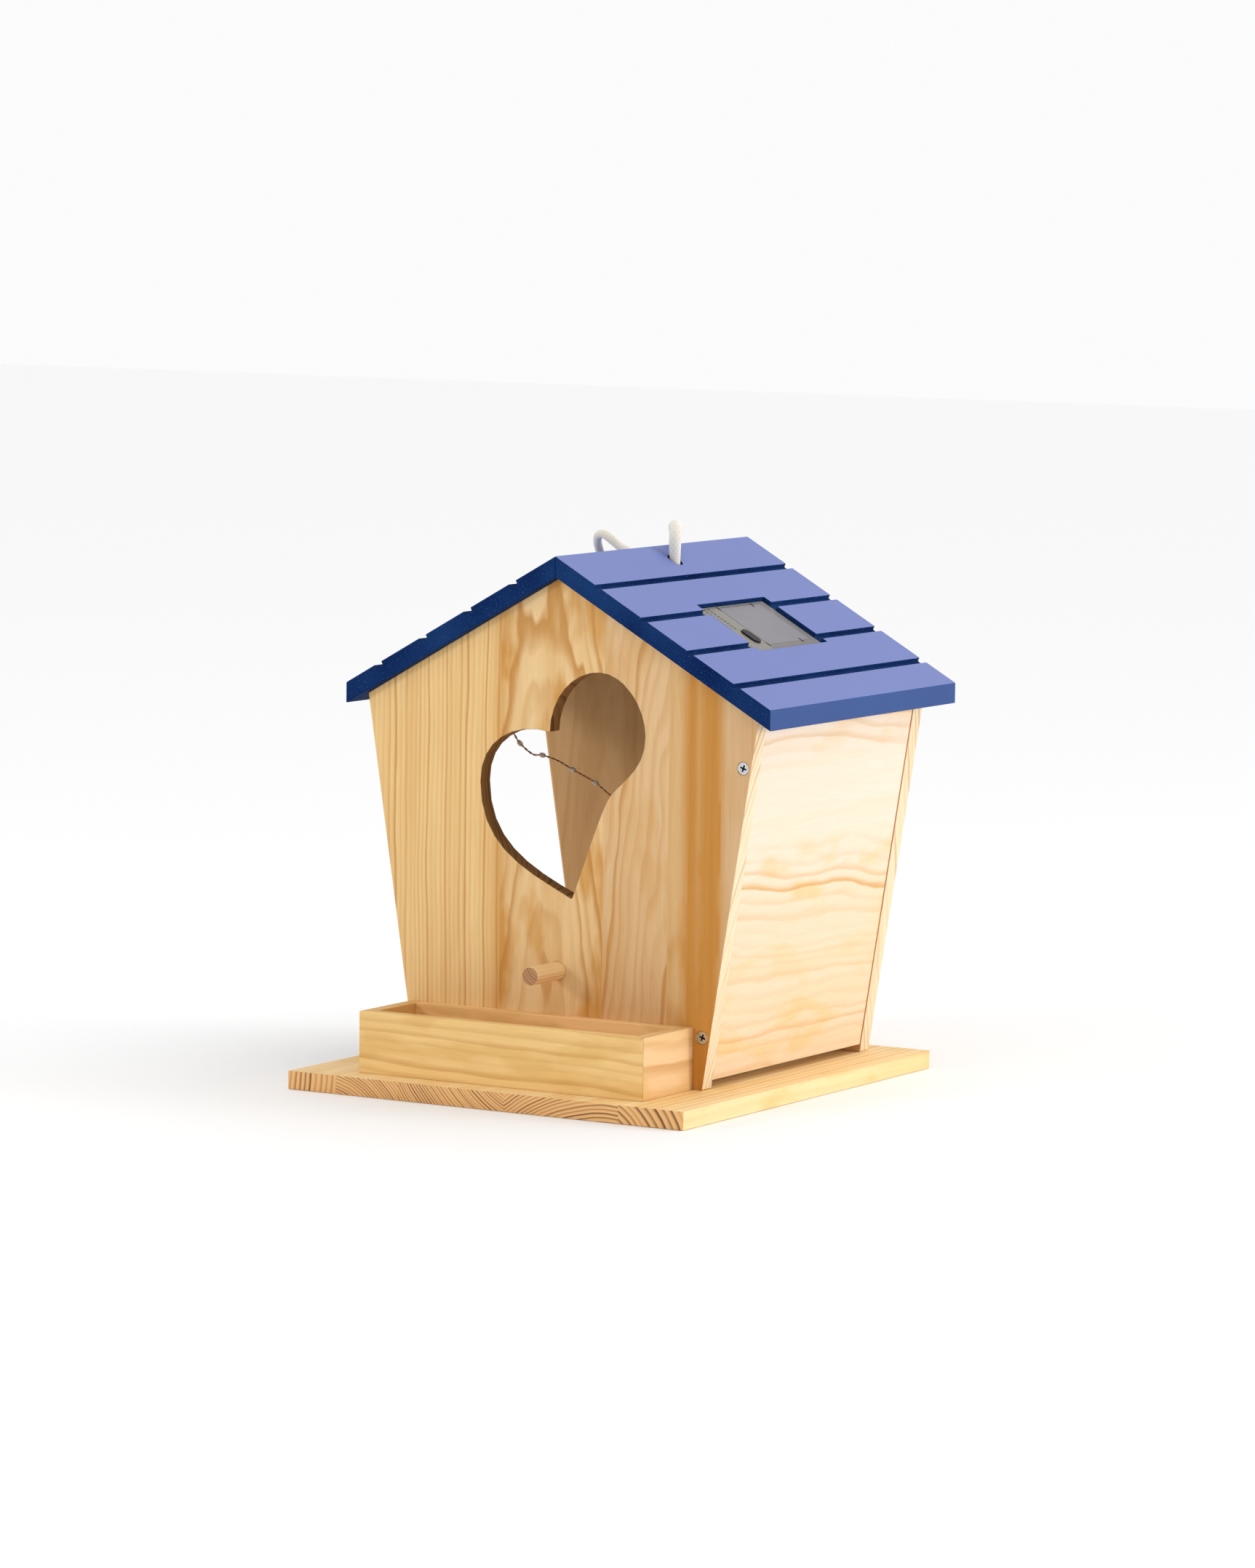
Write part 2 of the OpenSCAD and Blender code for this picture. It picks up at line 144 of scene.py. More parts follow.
wire_route = [
    slope_point(SOLAR_S, CASE_Y + 2, FACE_N - 13),
    slope_point(SOLAR_S, CASE_Y - 3, FACE_N - 13),
    Vector((48, -10, 184)),
    Vector((46.5, -10, 171)),
    Vector((43.5, -9, 156)),
    Vector((37.5, -7, 140)),
    Vector((28, -5, 126)),
    Vector((14, -2, 117.6)),
    Vector((4, -1, 118.6)),
    Vector((-6, 0, 124.9)),
    Vector((-14, 0, 130.2)),
    Vector((-19, 0, 132.5)),
    Vector((-26, 0, 135.4)),
    Vector((-34, 0, 139)),
    Vector((-41.8, 0, 140.9)),
    Vector((-47, 0, 141.1)),
    Vector((-53.6, 0, 145.5)),
    Vector((-57, 0, 149.8)),
    Vector((-63, 1, 156.5)),
    Vector((-70, 3, 163.5)),
    Vector((-77, 5, 170.2)),
    Vector((-84, 6, 176.2)),
]
BEADS_AT = (3, 4, 5, 6, 7, 8, 10, 12, 14, 16, 18, 20)


def smooth_path(points, step):
    """A curve through the points, with a new point about every step millimetres."""
    count = len(points)
    path = []
    for i in range(count - 1):
        a = points[max(i - 1, 0)]
        b = points[i]
        c = points[i + 1]
        d = points[min(i + 2, count - 1)]
        parts = max(1, round((c - b).length / step))
        for k in range(parts):
            t = k / parts
            path.append(0.5 * (
                2 * b
                + (c - a) * t
                + (2 * a - 5 * b + 4 * c - d) * t**2
                + (3 * b - a - 3 * c + d) * t**3
            ))
    path.append(points[-1].copy())
    return path


def path_length(path):
    return sum((b - a).length for a, b in zip(path, path[1:]))


def path_frames(path):
    """A heading and two side vectors at each point of the path, carried along without twist."""
    last = len(path) - 1
    side = Vector((0, 1, 0))
    frames = []
    for i in range(last + 1):
        heading = (path[min(i + 1, last)] - path[max(i - 1, 0)]).normalized()
        side = (side - heading * side.dot(heading)).normalized()
        frames.append((heading, side, heading.cross(side)))
    return frames


def tube_piece(name, path, radius, sides):
    """A closed tube in millimetres along a path; radius is a function of the distance along it.

    Its UV map is in metres: U runs round the tube and V along it.
    """
    frames = path_frames(path)
    vertices = []
    along = [0.0]
    for a, b in zip(path, path[1:]):
        along.append(along[-1] + (b - a).length)
    for point, (_, side, up), distance in zip(path, frames, along):
        for k in range(sides):
            turn = 2 * math.pi * k / sides
            reach = radius(distance)
            vertices.append((point + reach * (math.cos(turn) * side + math.sin(turn) * up)) * MM)
    faces = []
    uvs = []
    girth = 2 * math.pi * radius(along[-1] / 2)
    for i in range(len(path) - 1):
        for k in range(sides):
            a = i * sides + k
            b = i * sides + (k + 1) % sides
            faces.append((a, b, b + sides, a + sides))
            u0 = girth * k / sides * MM
            u1 = girth * (k + 1) / sides * MM
            v0 = along[i] * MM
            v1 = along[i + 1] * MM
            uvs.extend(((u0, v0), (u1, v0), (u1, v1), (u0, v1)))
    for ring, order in ((0, -1), (len(path) - 1, 1)):
        faces.append([ring * sides + k for k in range(sides)][::order])
        uvs.extend([(0, along[ring] * MM)] * sides)
    mesh = bpy.data.meshes.new(name)
    mesh.from_pydata(vertices, [], faces)
    layer = mesh.uv_layers.new(name="UVMap")
    for loop, uv in zip(layer.data, uvs):
        loop.uv = uv
    mesh.shade_smooth()
    piece = bpy.data.objects.new(name, mesh)
    bpy.context.collection.objects.link(piece)
    return piece


# radius of the soft rope in millimetres, and where along the rope it changes
ROPE_R = 2.5
ARCH_R = 1.9
ARCH_END = 50
FULL_FROM = 80
HOLE_R = 2.4
SWELL = 0.5
SWELL_START = 14
SWELL_END = 46


def make_rope():
    """The soft rope: full where it stands at the right hole, thinner in the arch on the left."""
    path = smooth_path(rope_route, 1.5)
    total = path_length(path)

    def radius(distance):
        to_end = total - distance
        if distance < ARCH_END:
            return ARCH_R
        if distance < FULL_FROM:
            return ARCH_R + (ROPE_R - ARCH_R) * (distance - ARCH_END) / (FULL_FROM - ARCH_END)
        if to_end < SWELL_START:
            return HOLE_R
        if to_end < SWELL_END:
            part = (to_end - SWELL_START) / (SWELL_END - SWELL_START)
            return HOLE_R + SWELL * math.sin(math.pi * part)
        return ROPE_R

    rope = tube_piece("rope", path, radius, 20)
    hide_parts("rope_loop")
    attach(rope, "house")
    return rope, path


# the knots: size of their trefoil across and in height, the pulled rope's radius, and their place
KNOT_REACH = 1.3
KNOT_HEIGHT = 1.9
KNOT_R = 2.15
KNOT_Z = 211.6


def overhand_knot(name, centre, turn):
    """An overhand knot of the same rope with its short tail, under the roof."""
    points = []
    steps = 72
    for i in range(steps):
        t = 2 * math.pi * i / steps
        points.append(Vector((
            KNOT_REACH * (math.sin(t) + 2 * math.sin(2 * t)),
            KNOT_REACH * (math.cos(t) - 2 * math.cos(2 * t)),
            -KNOT_HEIGHT * math.sin(3 * t),
        )))
    points.append(points[0].copy())
    spin = Matrix.Rotation(math.radians(turn), 3, "Z")
    path = [centre + spin @ p for p in points]
    knot = tube_piece(name, path, lambda distance: KNOT_R, 14)
    tail_path = smooth_path(
        [
            centre + spin @ Vector((1.5, 0.5, 2.4)),
            centre + spin @ Vector((1, 1, -2)),
            centre + spin @ Vector((1.6, 1.4, -7)),
            centre + spin @ Vector((2.6, 1.2, -12)),
        ],
        1,
    )
    tail = tube_piece(name + "_tail", tail_path, lambda distance: 2 + 0.02 * distance, 14)
    for piece in (knot, tail):
        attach(piece, "house")
    return knot, tail


# the light string's two strands: radius, distance from the middle, and length of a full twist
STRAND_R = 0.24
STRAND_OUT = 0.26
STRAND_LAY = 5.0


def make_wire():
    """Two thin copper wires twisted round each other along the light string's route."""
    path = smooth_path(wire_route, 0.6)
    frames = path_frames(path)
    strands = []
    for phase in (0, math.pi):
        distance = 0.0
        strand = []
        for i, (point, (_, side, up)) in enumerate(zip(path, frames)):
            if i:
                distance += (point - path[i - 1]).length
            turn = phase + 2 * math.pi * distance / STRAND_LAY
            strand.append(point + STRAND_OUT * (math.cos(turn) * side + math.sin(turn) * up))
        strands.append(tube_piece("light_string", strand, lambda d: STRAND_R, 6))
    deselect()
    for strand in strands:
        strand.select_set(True)
    bpy.context.view_layer.objects.active = strands[0]
    bpy.ops.object.join()
    wire = strands[0]
    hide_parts("light_wire")
    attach(wire, "house")
    return wire, path


def deselect():
    """Puts Blender in object mode with nothing selected."""
    if bpy.context.object and bpy.context.object.mode != "OBJECT":
        bpy.ops.object.mode_set(mode="OBJECT")
    bpy.ops.object.select_all(action="DESELECT")


def activate(piece):
    deselect()
    piece.select_set(True)
    bpy.context.view_layer.objects.active = piece


rope, rope_path = make_rope()
knots = [
    overhand_knot("rope_knot_l", Vector((-ROPE_X, ROPE_Y, KNOT_Z)), 40),
    overhand_knot("rope_knot_r", Vector((ROPE_X, ROPE_Y, KNOT_Z)), 200),
]
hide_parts("rope_knot_left")
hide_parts("rope_knot_right")
wire, wire_path = make_wire()


# ---- light beads ----


DROP_R = 1.15
DROP_STRETCH = 1.45
CHIP_SIZE = 0.8


def make_beads():
    """Resin drops round the wire, drawn out at both ends, each with a small yellow light chip."""
    deselect()
    bpy.ops.mesh.primitive_uv_sphere_add(segments=20, ring_count=12, radius=DROP_R * MM)
    drop = bpy.context.object
    bpy.ops.object.mode_set(mode="EDIT")
    bpy.ops.mesh.select_all(action="SELECT")
    bpy.ops.transform.resize(value=(1, 1, DROP_STRETCH))
    bpy.ops.mesh.select_all(action="DESELECT")
    bpy.ops.object.mode_set(mode="OBJECT")
    for vertex in drop.data.vertices:
        vertex.select = abs(vertex.co.z) > 1.2 * MM
    bpy.ops.object.mode_set(mode="EDIT")
    bpy.ops.transform.resize(value=(0.72, 0.72, 1))
    bpy.ops.object.mode_set(mode="OBJECT")
    bpy.ops.object.shade_smooth()
    deselect()
    bpy.ops.mesh.primitive_cube_add(size=CHIP_SIZE * MM)
    chip = bpy.context.object
    bpy.ops.object.mode_set(mode="EDIT")
    bpy.ops.mesh.select_all(action="SELECT")
    bpy.ops.transform.resize(value=(0.6, 1, 1.3))
    bpy.ops.transform.translate(value=(0.35 * MM, 0, 0))
    bpy.ops.mesh.bevel(offset=0.1 * MM, segments=2, affect="EDGES")
    bpy.ops.object.mode_set(mode="OBJECT")
    deselect()
    made = []
    for number, index in enumerate(BEADS_AT, 1):
        heading = (wire_route[index + 1] - wire_route[index - 1]).normalized()
        turn = heading.to_track_quat("Z", "Y").to_matrix().to_4x4()
        spin = Matrix.Rotation(math.radians(67 * number), 4, "Z")
        place = Matrix.Translation(wire_route[index] * MM) @ turn @ spin
        for model, word in ((drop, "bead"), (chip, "chip")):
            copy = bpy.data.objects.new(f"{word}_{number}", model.data.copy())
            copy.data.transform(place)
            bpy.context.collection.objects.link(copy)
            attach(copy, "house")
            made.append(copy)
    bpy.data.objects.remove(drop)
    bpy.data.objects.remove(chip)
    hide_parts("light_beads")
    return made[0::2], made[1::2]


beads, chips = make_beads()


# ---- pieces that are copies of the CAD parts, with their edges rounded ----


def eased_copy(node, name, width=0.4):
    """A copy of a CAD part on the house with its sharp edges rounded, standing for it."""
    activate(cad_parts[node])
    bpy.ops.object.duplicate()
    piece = bpy.context.object
    piece.name = name
    piece.data.name = name
    bpy.ops.object.mode_set(mode="EDIT")
    bpy.ops.mesh.select_all(action="SELECT")
    bpy.ops.mesh.remove_doubles(threshold=0.002 * MM)
    bpy.ops.mesh.dissolve_limited(angle_limit=math.radians(0.6))
    bpy.ops.object.mode_set(mode="OBJECT")
    bevel = piece.modifiers.new("eased edges", "BEVEL")
    bevel.width = width * MM
    bevel.segments = 2
    bevel.limit_method = "ANGLE"
    bevel.angle_limit = math.radians(35)
    bevel.use_clamp_overlap = False
    bevel.miter_outer = "MITER_ARC"
    bpy.ops.object.modifier_apply(modifier=bevel.name)
    bpy.ops.object.shade_smooth_by_angle(angle=math.radians(30))
    # keeps the large flat faces evenly shaded up to their rounded edges
    normals = piece.modifiers.new("flat faces", "WEIGHTED_NORMAL")
    normals.keep_sharp = True
    bpy.ops.object.modifier_apply(modifier=normals.name)
    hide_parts(node)
    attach(piece, "house")
    return piece


# ---- materials ----


def rgb(text):
    """An sRGB hex colour as linear red, green, blue and alpha."""
    values = [int(text[i:i + 2], 16) / 255 for i in (1, 3, 5)]
    return [v / 12.92 if v <= 0.04045 else ((v + 0.055) / 1.055) ** 2.4 for v in values] + [1]


def add(tree, kind, settings=None, stops=None, **links):
    """Adds a node. Links and values go to the inputs that the words name, as in_0 or in_Scale."""
    made = tree.nodes.new("ShaderNode" + kind)
    for key, value in (settings or {}).items():
        setattr(made, key, value)
    if stops:
        ramp = made.color_ramp
        while len(ramp.elements) < len(stops):
            ramp.elements.new(0.5)
        for element, (place, colour) in zip(ramp.elements, stops):
            element.position = place
            element.color = colour
    for key, value in links.items():
        word = key[3:].replace("_", " ")
        target = made.inputs[int(word)] if word.isdigit() else made.inputs[word]
        if isinstance(value, bpy.types.NodeSocket):
            tree.links.new(value, target)
        else:
            target.default_value = value
    return made


def new_material(name):
    material = bpy.data.materials.new(name)
    material.use_nodes = True
    tree = material.node_tree
    tree.nodes.clear()
    return material, tree


def finish_material(tree, shader):
    add(tree, "OutputMaterial", in_Surface=shader.outputs[0])


COLOURS = {"data_type": "RGBA", "blend_type": "MIX"}
ACROSS_THEN_ALONG = {"X": ("Y", "Z", "X"), "Y": ("X", "Z", "Y"), "Z": ("X", "Y", "Z")}


def trunk_place(tree, along, seed):
    """The place in the trunk in millimetres: across, across and along the grain."""
    place = add(tree, "TexCoord").outputs["Object"]
    parts = add(tree, "SeparateXYZ", in_0=place)
    first, second, third = (parts.outputs[axis] for axis in ACROSS_THEN_ALONG[along])
    grain = add(tree, "CombineXYZ", in_0=first, in_1=second, in_2=third)
    return add(tree, "VectorMath", {"operation": "MULTIPLY_ADD"}, in_0=grain.outputs[0],
               in_1=(1000, 1000, 1000), in_2=(0, 0, seed * 37)).outputs[0]


def wander(tree, place, across, along, reach):
    """A smooth shift across the grain; across and along are its sizes in millimetres."""
    scaled = add(tree, "VectorMath", {"operation": "MULTIPLY"}, in_0=place,
                 in_1=(1 / across, 1 / across, 1 / along))
    noise = add(tree, "TexNoise", in_Vector=scaled.outputs[0], in_Scale=1.0, in_Detail=2.0)
    return add(tree, "VectorMath", {"operation": "MULTIPLY_ADD"}, in_0=noise.outputs["Color"],
               in_1=(2 * reach, 2 * reach, 0), in_2=(-reach, -reach, 0)).outputs[0]


def growth_rings(tree, look):
    """Growth rings as cylinders round the pith, so faces show lines or flames and ends arcs.

    Gives the place in the trunk and the strength of the late wood, the dark part of each ring.
    """
    place = trunk_place(tree, look["along"], look["seed"])
    moved = add(tree, "VectorMath", {"operation": "ADD"}, in_0=place,
                in_1=wander(tree, place, 34, look.get("draw", 120), look["warp"]))
    moved = add(tree, "VectorMath", {"operation": "ADD"}, in_0=moved.outputs[0],
                in_1=wander(tree, place, 9, 40, look.get("wave", 0.7)))
    pith = look["pith"]
    moved = add(tree, "VectorMath", {"operation": "SUBTRACT"}, in_0=moved.outputs[0],
                in_1=(pith[0], pith[1], look["seed"] * 37))
    split = add(tree, "SeparateXYZ", in_0=moved.outputs[0])
    # the trunk leans a little against the board, which opens the rings into flames
    leaning = add(tree, "Math", {"operation": "MULTIPLY_ADD"}, in_0=split.outputs[2],
                  in_1=look.get("lean", 0.0), in_2=split.outputs[1])
    flat = add(tree, "CombineXYZ", in_0=split.outputs[0], in_1=leaning.outputs[0])
    reach = add(tree, "VectorMath", {"operation": "LENGTH"}, in_0=flat.outputs[0])
    # years differ in growth
    years = add(tree, "TexNoise", {"noise_dimensions": "1D"}, in_W=reach.outputs["Value"],
                in_Scale=0.12 / look["ring"], in_Detail=1.0)
    rings = add(tree, "Math", {"operation": "DIVIDE"}, in_0=reach.outputs["Value"],
                in_1=look["ring"])
    rings = add(tree, "Math", {"operation": "MULTIPLY_ADD"}, in_0=years.outputs[0], in_1=2.0,
                in_2=rings.outputs[0]).outputs[0]
    year = add(tree, "Math", {"operation": "FLOOR"}, in_0=rings)
    phase = add(tree, "Math", {"operation": "FRACT"}, in_0=rings)
    dark_years = add(tree, "TexWhiteNoise", {"noise_dimensions": "1D"}, in_W=year.outputs[0])
    dark_years = add(tree, "Math", {"operation": "POWER"}, in_0=dark_years.outputs["Value"],
                     in_1=look.get("uneven", 1.6))
    dark_years = add(tree, "MapRange", in_0=dark_years.outputs[0], in_3=0.15, in_4=1.0)
    line = add(tree, "ValToRGB", stops=[
        (0.0, (0, 0, 0, 1)),
        (0.4, (0.06, 0.06, 0.06, 1)),
        (0.72, (0.85, 0.85, 0.85, 1)),
        (0.86, (1, 1, 1, 1)),
        (1.0, (0, 0, 0, 1)),
    ], in_0=phase.outputs[0])
    late = add(tree, "Math", {"operation": "MULTIPLY"}, in_0=line.outputs[0],
               in_1=dark_years.outputs[0])
    return place, late.outputs[0]


def patches(tree, place, across, along, low, high, strength):
    """Soft patches of the given size in millimetres; low and high set how much they cover."""
    scaled = add(tree, "VectorMath", {"operation": "MULTIPLY"}, in_0=place,
                 in_1=(1 / across, 1 / across, 1 / along))
    noise = add(tree, "TexNoise", in_Vector=scaled.outputs[0], in_Scale=1.0, in_Detail=3.0)
    return add(tree, "MapRange", in_0=noise.outputs[0], in_1=low, in_2=high, in_3=0.0,
               in_4=strength).outputs[0]


def across_board(tree, axis, stops):
    """A value that changes across a board; stops are places in millimetres and values."""
    low = stops[0][0]
    high = stops[-1][0]
    place = add(tree, "TexCoord").outputs["Object"]
    parts = add(tree, "SeparateXYZ", in_0=place)
    spread = add(tree, "MapRange", in_0=parts.outputs[axis], in_1=low * MM, in_2=high * MM)
    ramp = [((at - low) / (high - low), (value, value, value, 1)) for at, value in stops]
    return add(tree, "ValToRGB", stops=ramp, in_0=spread.outputs[0]).outputs[0]


def fibre_shade(tree, place, along):
    """Fibres 0.3 mm wide, a little lighter and darker; along is their fineness lengthwise."""
    scaled = add(tree, "VectorMath", {"operation": "MULTIPLY"}, in_0=place,
                 in_1=(3.2, 3.2, along))
    return add(tree, "TexNoise", in_Vector=scaled.outputs[0], in_Scale=1.0, in_Detail=3.0).outputs[0]


def planed_wood(tree, colour, fibre, late, rough):
    """Bare planed wood: matt, with the fibres and the late wood standing up a little."""
    shade = add(tree, "MapRange", in_0=fibre, in_1=0.3, in_2=0.7, in_3=0.94, in_4=1.03)
    colour = add(tree, "VectorMath", {"operation": "MULTIPLY"}, in_0=colour,
                 in_1=shade.outputs[0])
    relief = add(tree, "Math", {"operation": "MULTIPLY_ADD"}, in_0=late, in_1=0.5, in_2=fibre)
    bump = add(tree, "Bump", in_Strength=0.25, in_Distance=0.08 * MM, in_Height=relief.outputs[0])
    roughness = add(tree, "MapRange", in_0=late, in_3=rough + 0.05, in_4=rough - 0.08)
    shader = add(tree, "BsdfPrincipled", in_Base_Color=colour.outputs[0],
                 in_Roughness=roughness.outputs[0], in_IOR=1.5, in_Specular_IOR_Level=0.3,
                 in_Normal=bump.outputs[0])
    finish_material(tree, shader)


def long_grain(name, look, early, late, honey, contrast=0.7, blotch=0.5, streak=0.5,
               axis=None, tones=None, lines=None, rough=0.55):
    """Planed pine or beech along the grain: pale early wood, amber late wood, honey patches.

    tones adds honey and lines sets the rings' strength across the board.
    """
    material, tree = new_material(name)
    place, rings = growth_rings(tree, look)
    streaks = patches(tree, place, 9, 190, 0.46, 0.66, streak)
    blotches = patches(tree, place, 16, look.get("blotch", 44), 0.5, 0.62, blotch)
    if lines:
        blotches = add(tree, "Math", {"operation": "MULTIPLY"}, in_0=blotches,
                       in_1=across_board(tree, axis, lines)).outputs[0]
    warm = add(tree, "Math", {"operation": "MAXIMUM"}, in_0=streaks, in_1=blotches).outputs[0]
    if tones:
        warm = add(tree, "Math", {"operation": "ADD", "use_clamp": True}, in_0=warm,
                   in_1=across_board(tree, axis, tones)).outputs[0]
    ground = add(tree, "Mix", COLOURS, in_0=warm, in_6=rgb(early), in_7=rgb(honey))
    weight = add(tree, "Math", {"operation": "MULTIPLY"}, in_0=rings, in_1=contrast).outputs[0]
    if lines:
        weight = add(tree, "Math", {"operation": "MULTIPLY"}, in_0=weight,
                     in_1=across_board(tree, axis, lines)).outputs[0]
    wood = add(tree, "Mix", COLOURS, in_0=weight, in_6=ground.outputs[2], in_7=rgb(late))
    planed_wood(tree, wood.outputs[2], fibre_shade(tree, place, 0.07), weight, rough)
    return material


def end_grain(name, look, early, late, rough=0.65):
    """Sawn ends show every ring, brown on tan, with open pores."""
    material, tree = new_material(name)
    place, rings = growth_rings(tree, look)
    wood = add(tree, "Mix", COLOURS, in_0=rings, in_6=rgb(early), in_7=rgb(late))
    planed_wood(tree, wood.outputs[2], fibre_shade(tree, place, 3.2), rings, rough)
    return material


def painted_wood(name, light, dark, coarse, speck, rough, gloss):
    """Blue wood paint, rolled on: smooth on the planed top, coarse and speckled on sawn edges.

    speck is the share of the surface that stays light; gloss is the strength of its sheen.
    """
    material, tree = new_material(name)
    place = add(tree, "TexCoord").outputs["Object"]
    scaled = add(tree, "VectorMath", {"operation": "SCALE"}, in_0=place, in_Scale=1000.0)
    # roller stipple about 0.6 mm across
    stipple = add(tree, "TexNoise", in_Vector=scaled.outputs[0], in_Scale=1.5, in_Detail=3.0)
    cloud = add(tree, "TexNoise", in_Vector=scaled.outputs[0], in_Scale=0.03, in_Detail=3.0)
    specks = add(tree, "MapRange", in_0=stipple.outputs[0], in_1=0.62 - speck, in_2=0.72 - speck)
    tone = add(tree, "MapRange", in_0=cloud.outputs[0], in_1=0.3, in_2=0.7, in_3=0.0, in_4=0.25)
    mixed = add(tree, "Math", {"operation": "MAXIMUM"}, in_0=specks.outputs[0],
                in_1=tone.outputs[0])
    colour = add(tree, "Mix", COLOURS, in_0=mixed.outputs[0], in_6=rgb(dark), in_7=rgb(light))
    # the wood's grain still shows through the paint
    grain_place = add(tree, "VectorMath", {"operation": "MULTIPLY"}, in_0=scaled.outputs[0],
                      in_1=(1.2, 0.05, 1.2))
    grain = add(tree, "TexNoise", in_Vector=grain_place.outputs[0], in_Scale=1.0, in_Detail=3.0)
    relief = add(tree, "Math", {"operation": "MULTIPLY_ADD"}, in_0=stipple.outputs[0],
                 in_1=coarse, in_2=grain.outputs[0])
    bump = add(tree, "Bump", in_Strength=0.3, in_Distance=0.1 * MM, in_Height=relief.outputs[0])
    shader = add(tree, "BsdfPrincipled", in_Base_Color=colour.outputs[2], in_Roughness=rough,
                 in_IOR=1.5, in_Specular_IOR_Level=gloss, in_Normal=bump.outputs[0])
    finish_material(tree, shader)
    return material


def braided_cotton():
    """Soft braided cotton rope: strands 2.4 mm long cross in a diamond braid, with fine fuzz."""
    material, tree = new_material("cotton_rope")
    uv = add(tree, "TexCoord").outputs["UV"]
    parts = add(tree, "SeparateXYZ", in_0=uv)
    waves = []
    for way in (1, -1):
        # eight strands each way round the rope's 2.5 mm radius
        slant = add(tree, "Math", {"operation": "MULTIPLY"}, in_0=parts.outputs[0],
                    in_1=way * 8 / (2.5 * MM))
        wave = add(tree, "Math", {"operation": "MULTIPLY_ADD"}, in_0=parts.outputs[1],
                   in_1=2 * math.pi / (2.4 * MM), in_2=slant.outputs[0])
        waves.append(add(tree, "Math", {"operation": "SINE"}, in_0=wave.outputs[0]).outputs[0])
    braid = add(tree, "Math", {"operation": "MAXIMUM"}, in_0=waves[0], in_1=waves[1])
    place = add(tree, "TexCoord").outputs["Object"]
    fuzz = add(tree, "TexNoise", in_Vector=place, in_Scale=2600.0, in_Detail=3.0)
    tone = add(tree, "TexNoise", in_Vector=place, in_Scale=90.0, in_Detail=2.0)
    lit = add(tree, "MapRange", in_0=braid.outputs[0], in_1=-0.6, in_2=0.9)
    colour = add(tree, "Mix", COLOURS, in_0=lit.outputs[0], in_6=rgb("#E2DDD3"),
                 in_7=rgb("#EAE6DC"))
    warmth = add(tree, "ValToRGB", stops=[(0.3, rgb("#EDE6D6")), (0.7, rgb("#FFFFFF"))],
                 in_0=tone.outputs[0])
    colour = add(tree, "Mix", {"data_type": "RGBA", "blend_type": "MULTIPLY"},
                 in_0=0.5, in_6=colour.outputs[2], in_7=warmth.outputs[0])
    relief = add(tree, "Math", {"operation": "MULTIPLY_ADD"}, in_0=fuzz.outputs[0], in_1=0.4,
                 in_2=lit.outputs[0])
    bump = add(tree, "Bump", in_Strength=0.3, in_Distance=0.12 * MM, in_Height=relief.outputs[0])
    shader = add(tree, "BsdfPrincipled", in_Base_Color=colour.outputs[2], in_Roughness=0.9,
                 in_IOR=1.5, in_Specular_IOR_Level=0.3, in_Sheen_Weight=0.15,
                 in_Sheen_Roughness=0.6, in_Normal=bump.outputs[0])
    finish_material(tree, shader)
    return material


def metal(name, bright, dull, rough, pitch):
    """Bare metal with a fine uneven tone; pitch is the size of the unevenness in millimetres."""
    material, tree = new_material(name)
    place = add(tree, "TexCoord").outputs["Object"]
    tone = add(tree, "TexNoise", in_Vector=place, in_Scale=1 / (pitch * MM), in_Detail=3.0)
    colour = add(tree, "Mix", COLOURS, in_0=tone.outputs[0], in_6=rgb(bright), in_7=rgb(dull))
    roughness = add(tree, "MapRange", in_0=tone.outputs[0], in_3=rough - 0.08, in_4=rough + 0.08)
    bump = add(tree, "Bump", in_Strength=0.15, in_Distance=0.02 * MM, in_Height=tone.outputs[0])
    shader = add(tree, "BsdfPrincipled", in_Base_Color=colour.outputs[2], in_Metallic=1.0,
                 in_Roughness=roughness.outputs[0], in_Normal=bump.outputs[0])
    finish_material(tree, shader)
    return material


def moulded(name, light, dark, rough, marks=None):
    """Plastic or coated part with a 0.5 mm satin texture, as a spark-eroded mould leaves it.

    marks is a function that gives the strength and the colour of what is printed on it.
    """
    material, tree = new_material(name)
    place = add(tree, "TexCoord").outputs["Object"]
    grit = add(tree, "TexNoise", in_Vector=place, in_Scale=1 / (0.5 * MM), in_Detail=2.0)
    tone = add(tree, "TexNoise", in_Vector=place, in_Scale=60.0, in_Detail=3.0)
    colour = add(tree, "Mix", COLOURS, in_0=tone.outputs[0], in_6=rgb(light),
                 in_7=rgb(dark)).outputs[2]
    if marks:
        strength, ink = marks(tree, place)
        colour = add(tree, "Mix", COLOURS, in_0=strength, in_6=colour, in_7=ink).outputs[2]
    bump = add(tree, "Bump", in_Strength=0.2, in_Distance=0.03 * MM, in_Height=grit.outputs[0])
    roughness = add(tree, "MapRange", in_0=grit.outputs[0], in_3=rough - 0.05, in_4=rough + 0.08)
    shader = add(tree, "BsdfPrincipled", in_Base_Color=colour,
                 in_Roughness=roughness.outputs[0], in_IOR=1.5, in_Normal=bump.outputs[0])
    finish_material(tree, shader)
    return material


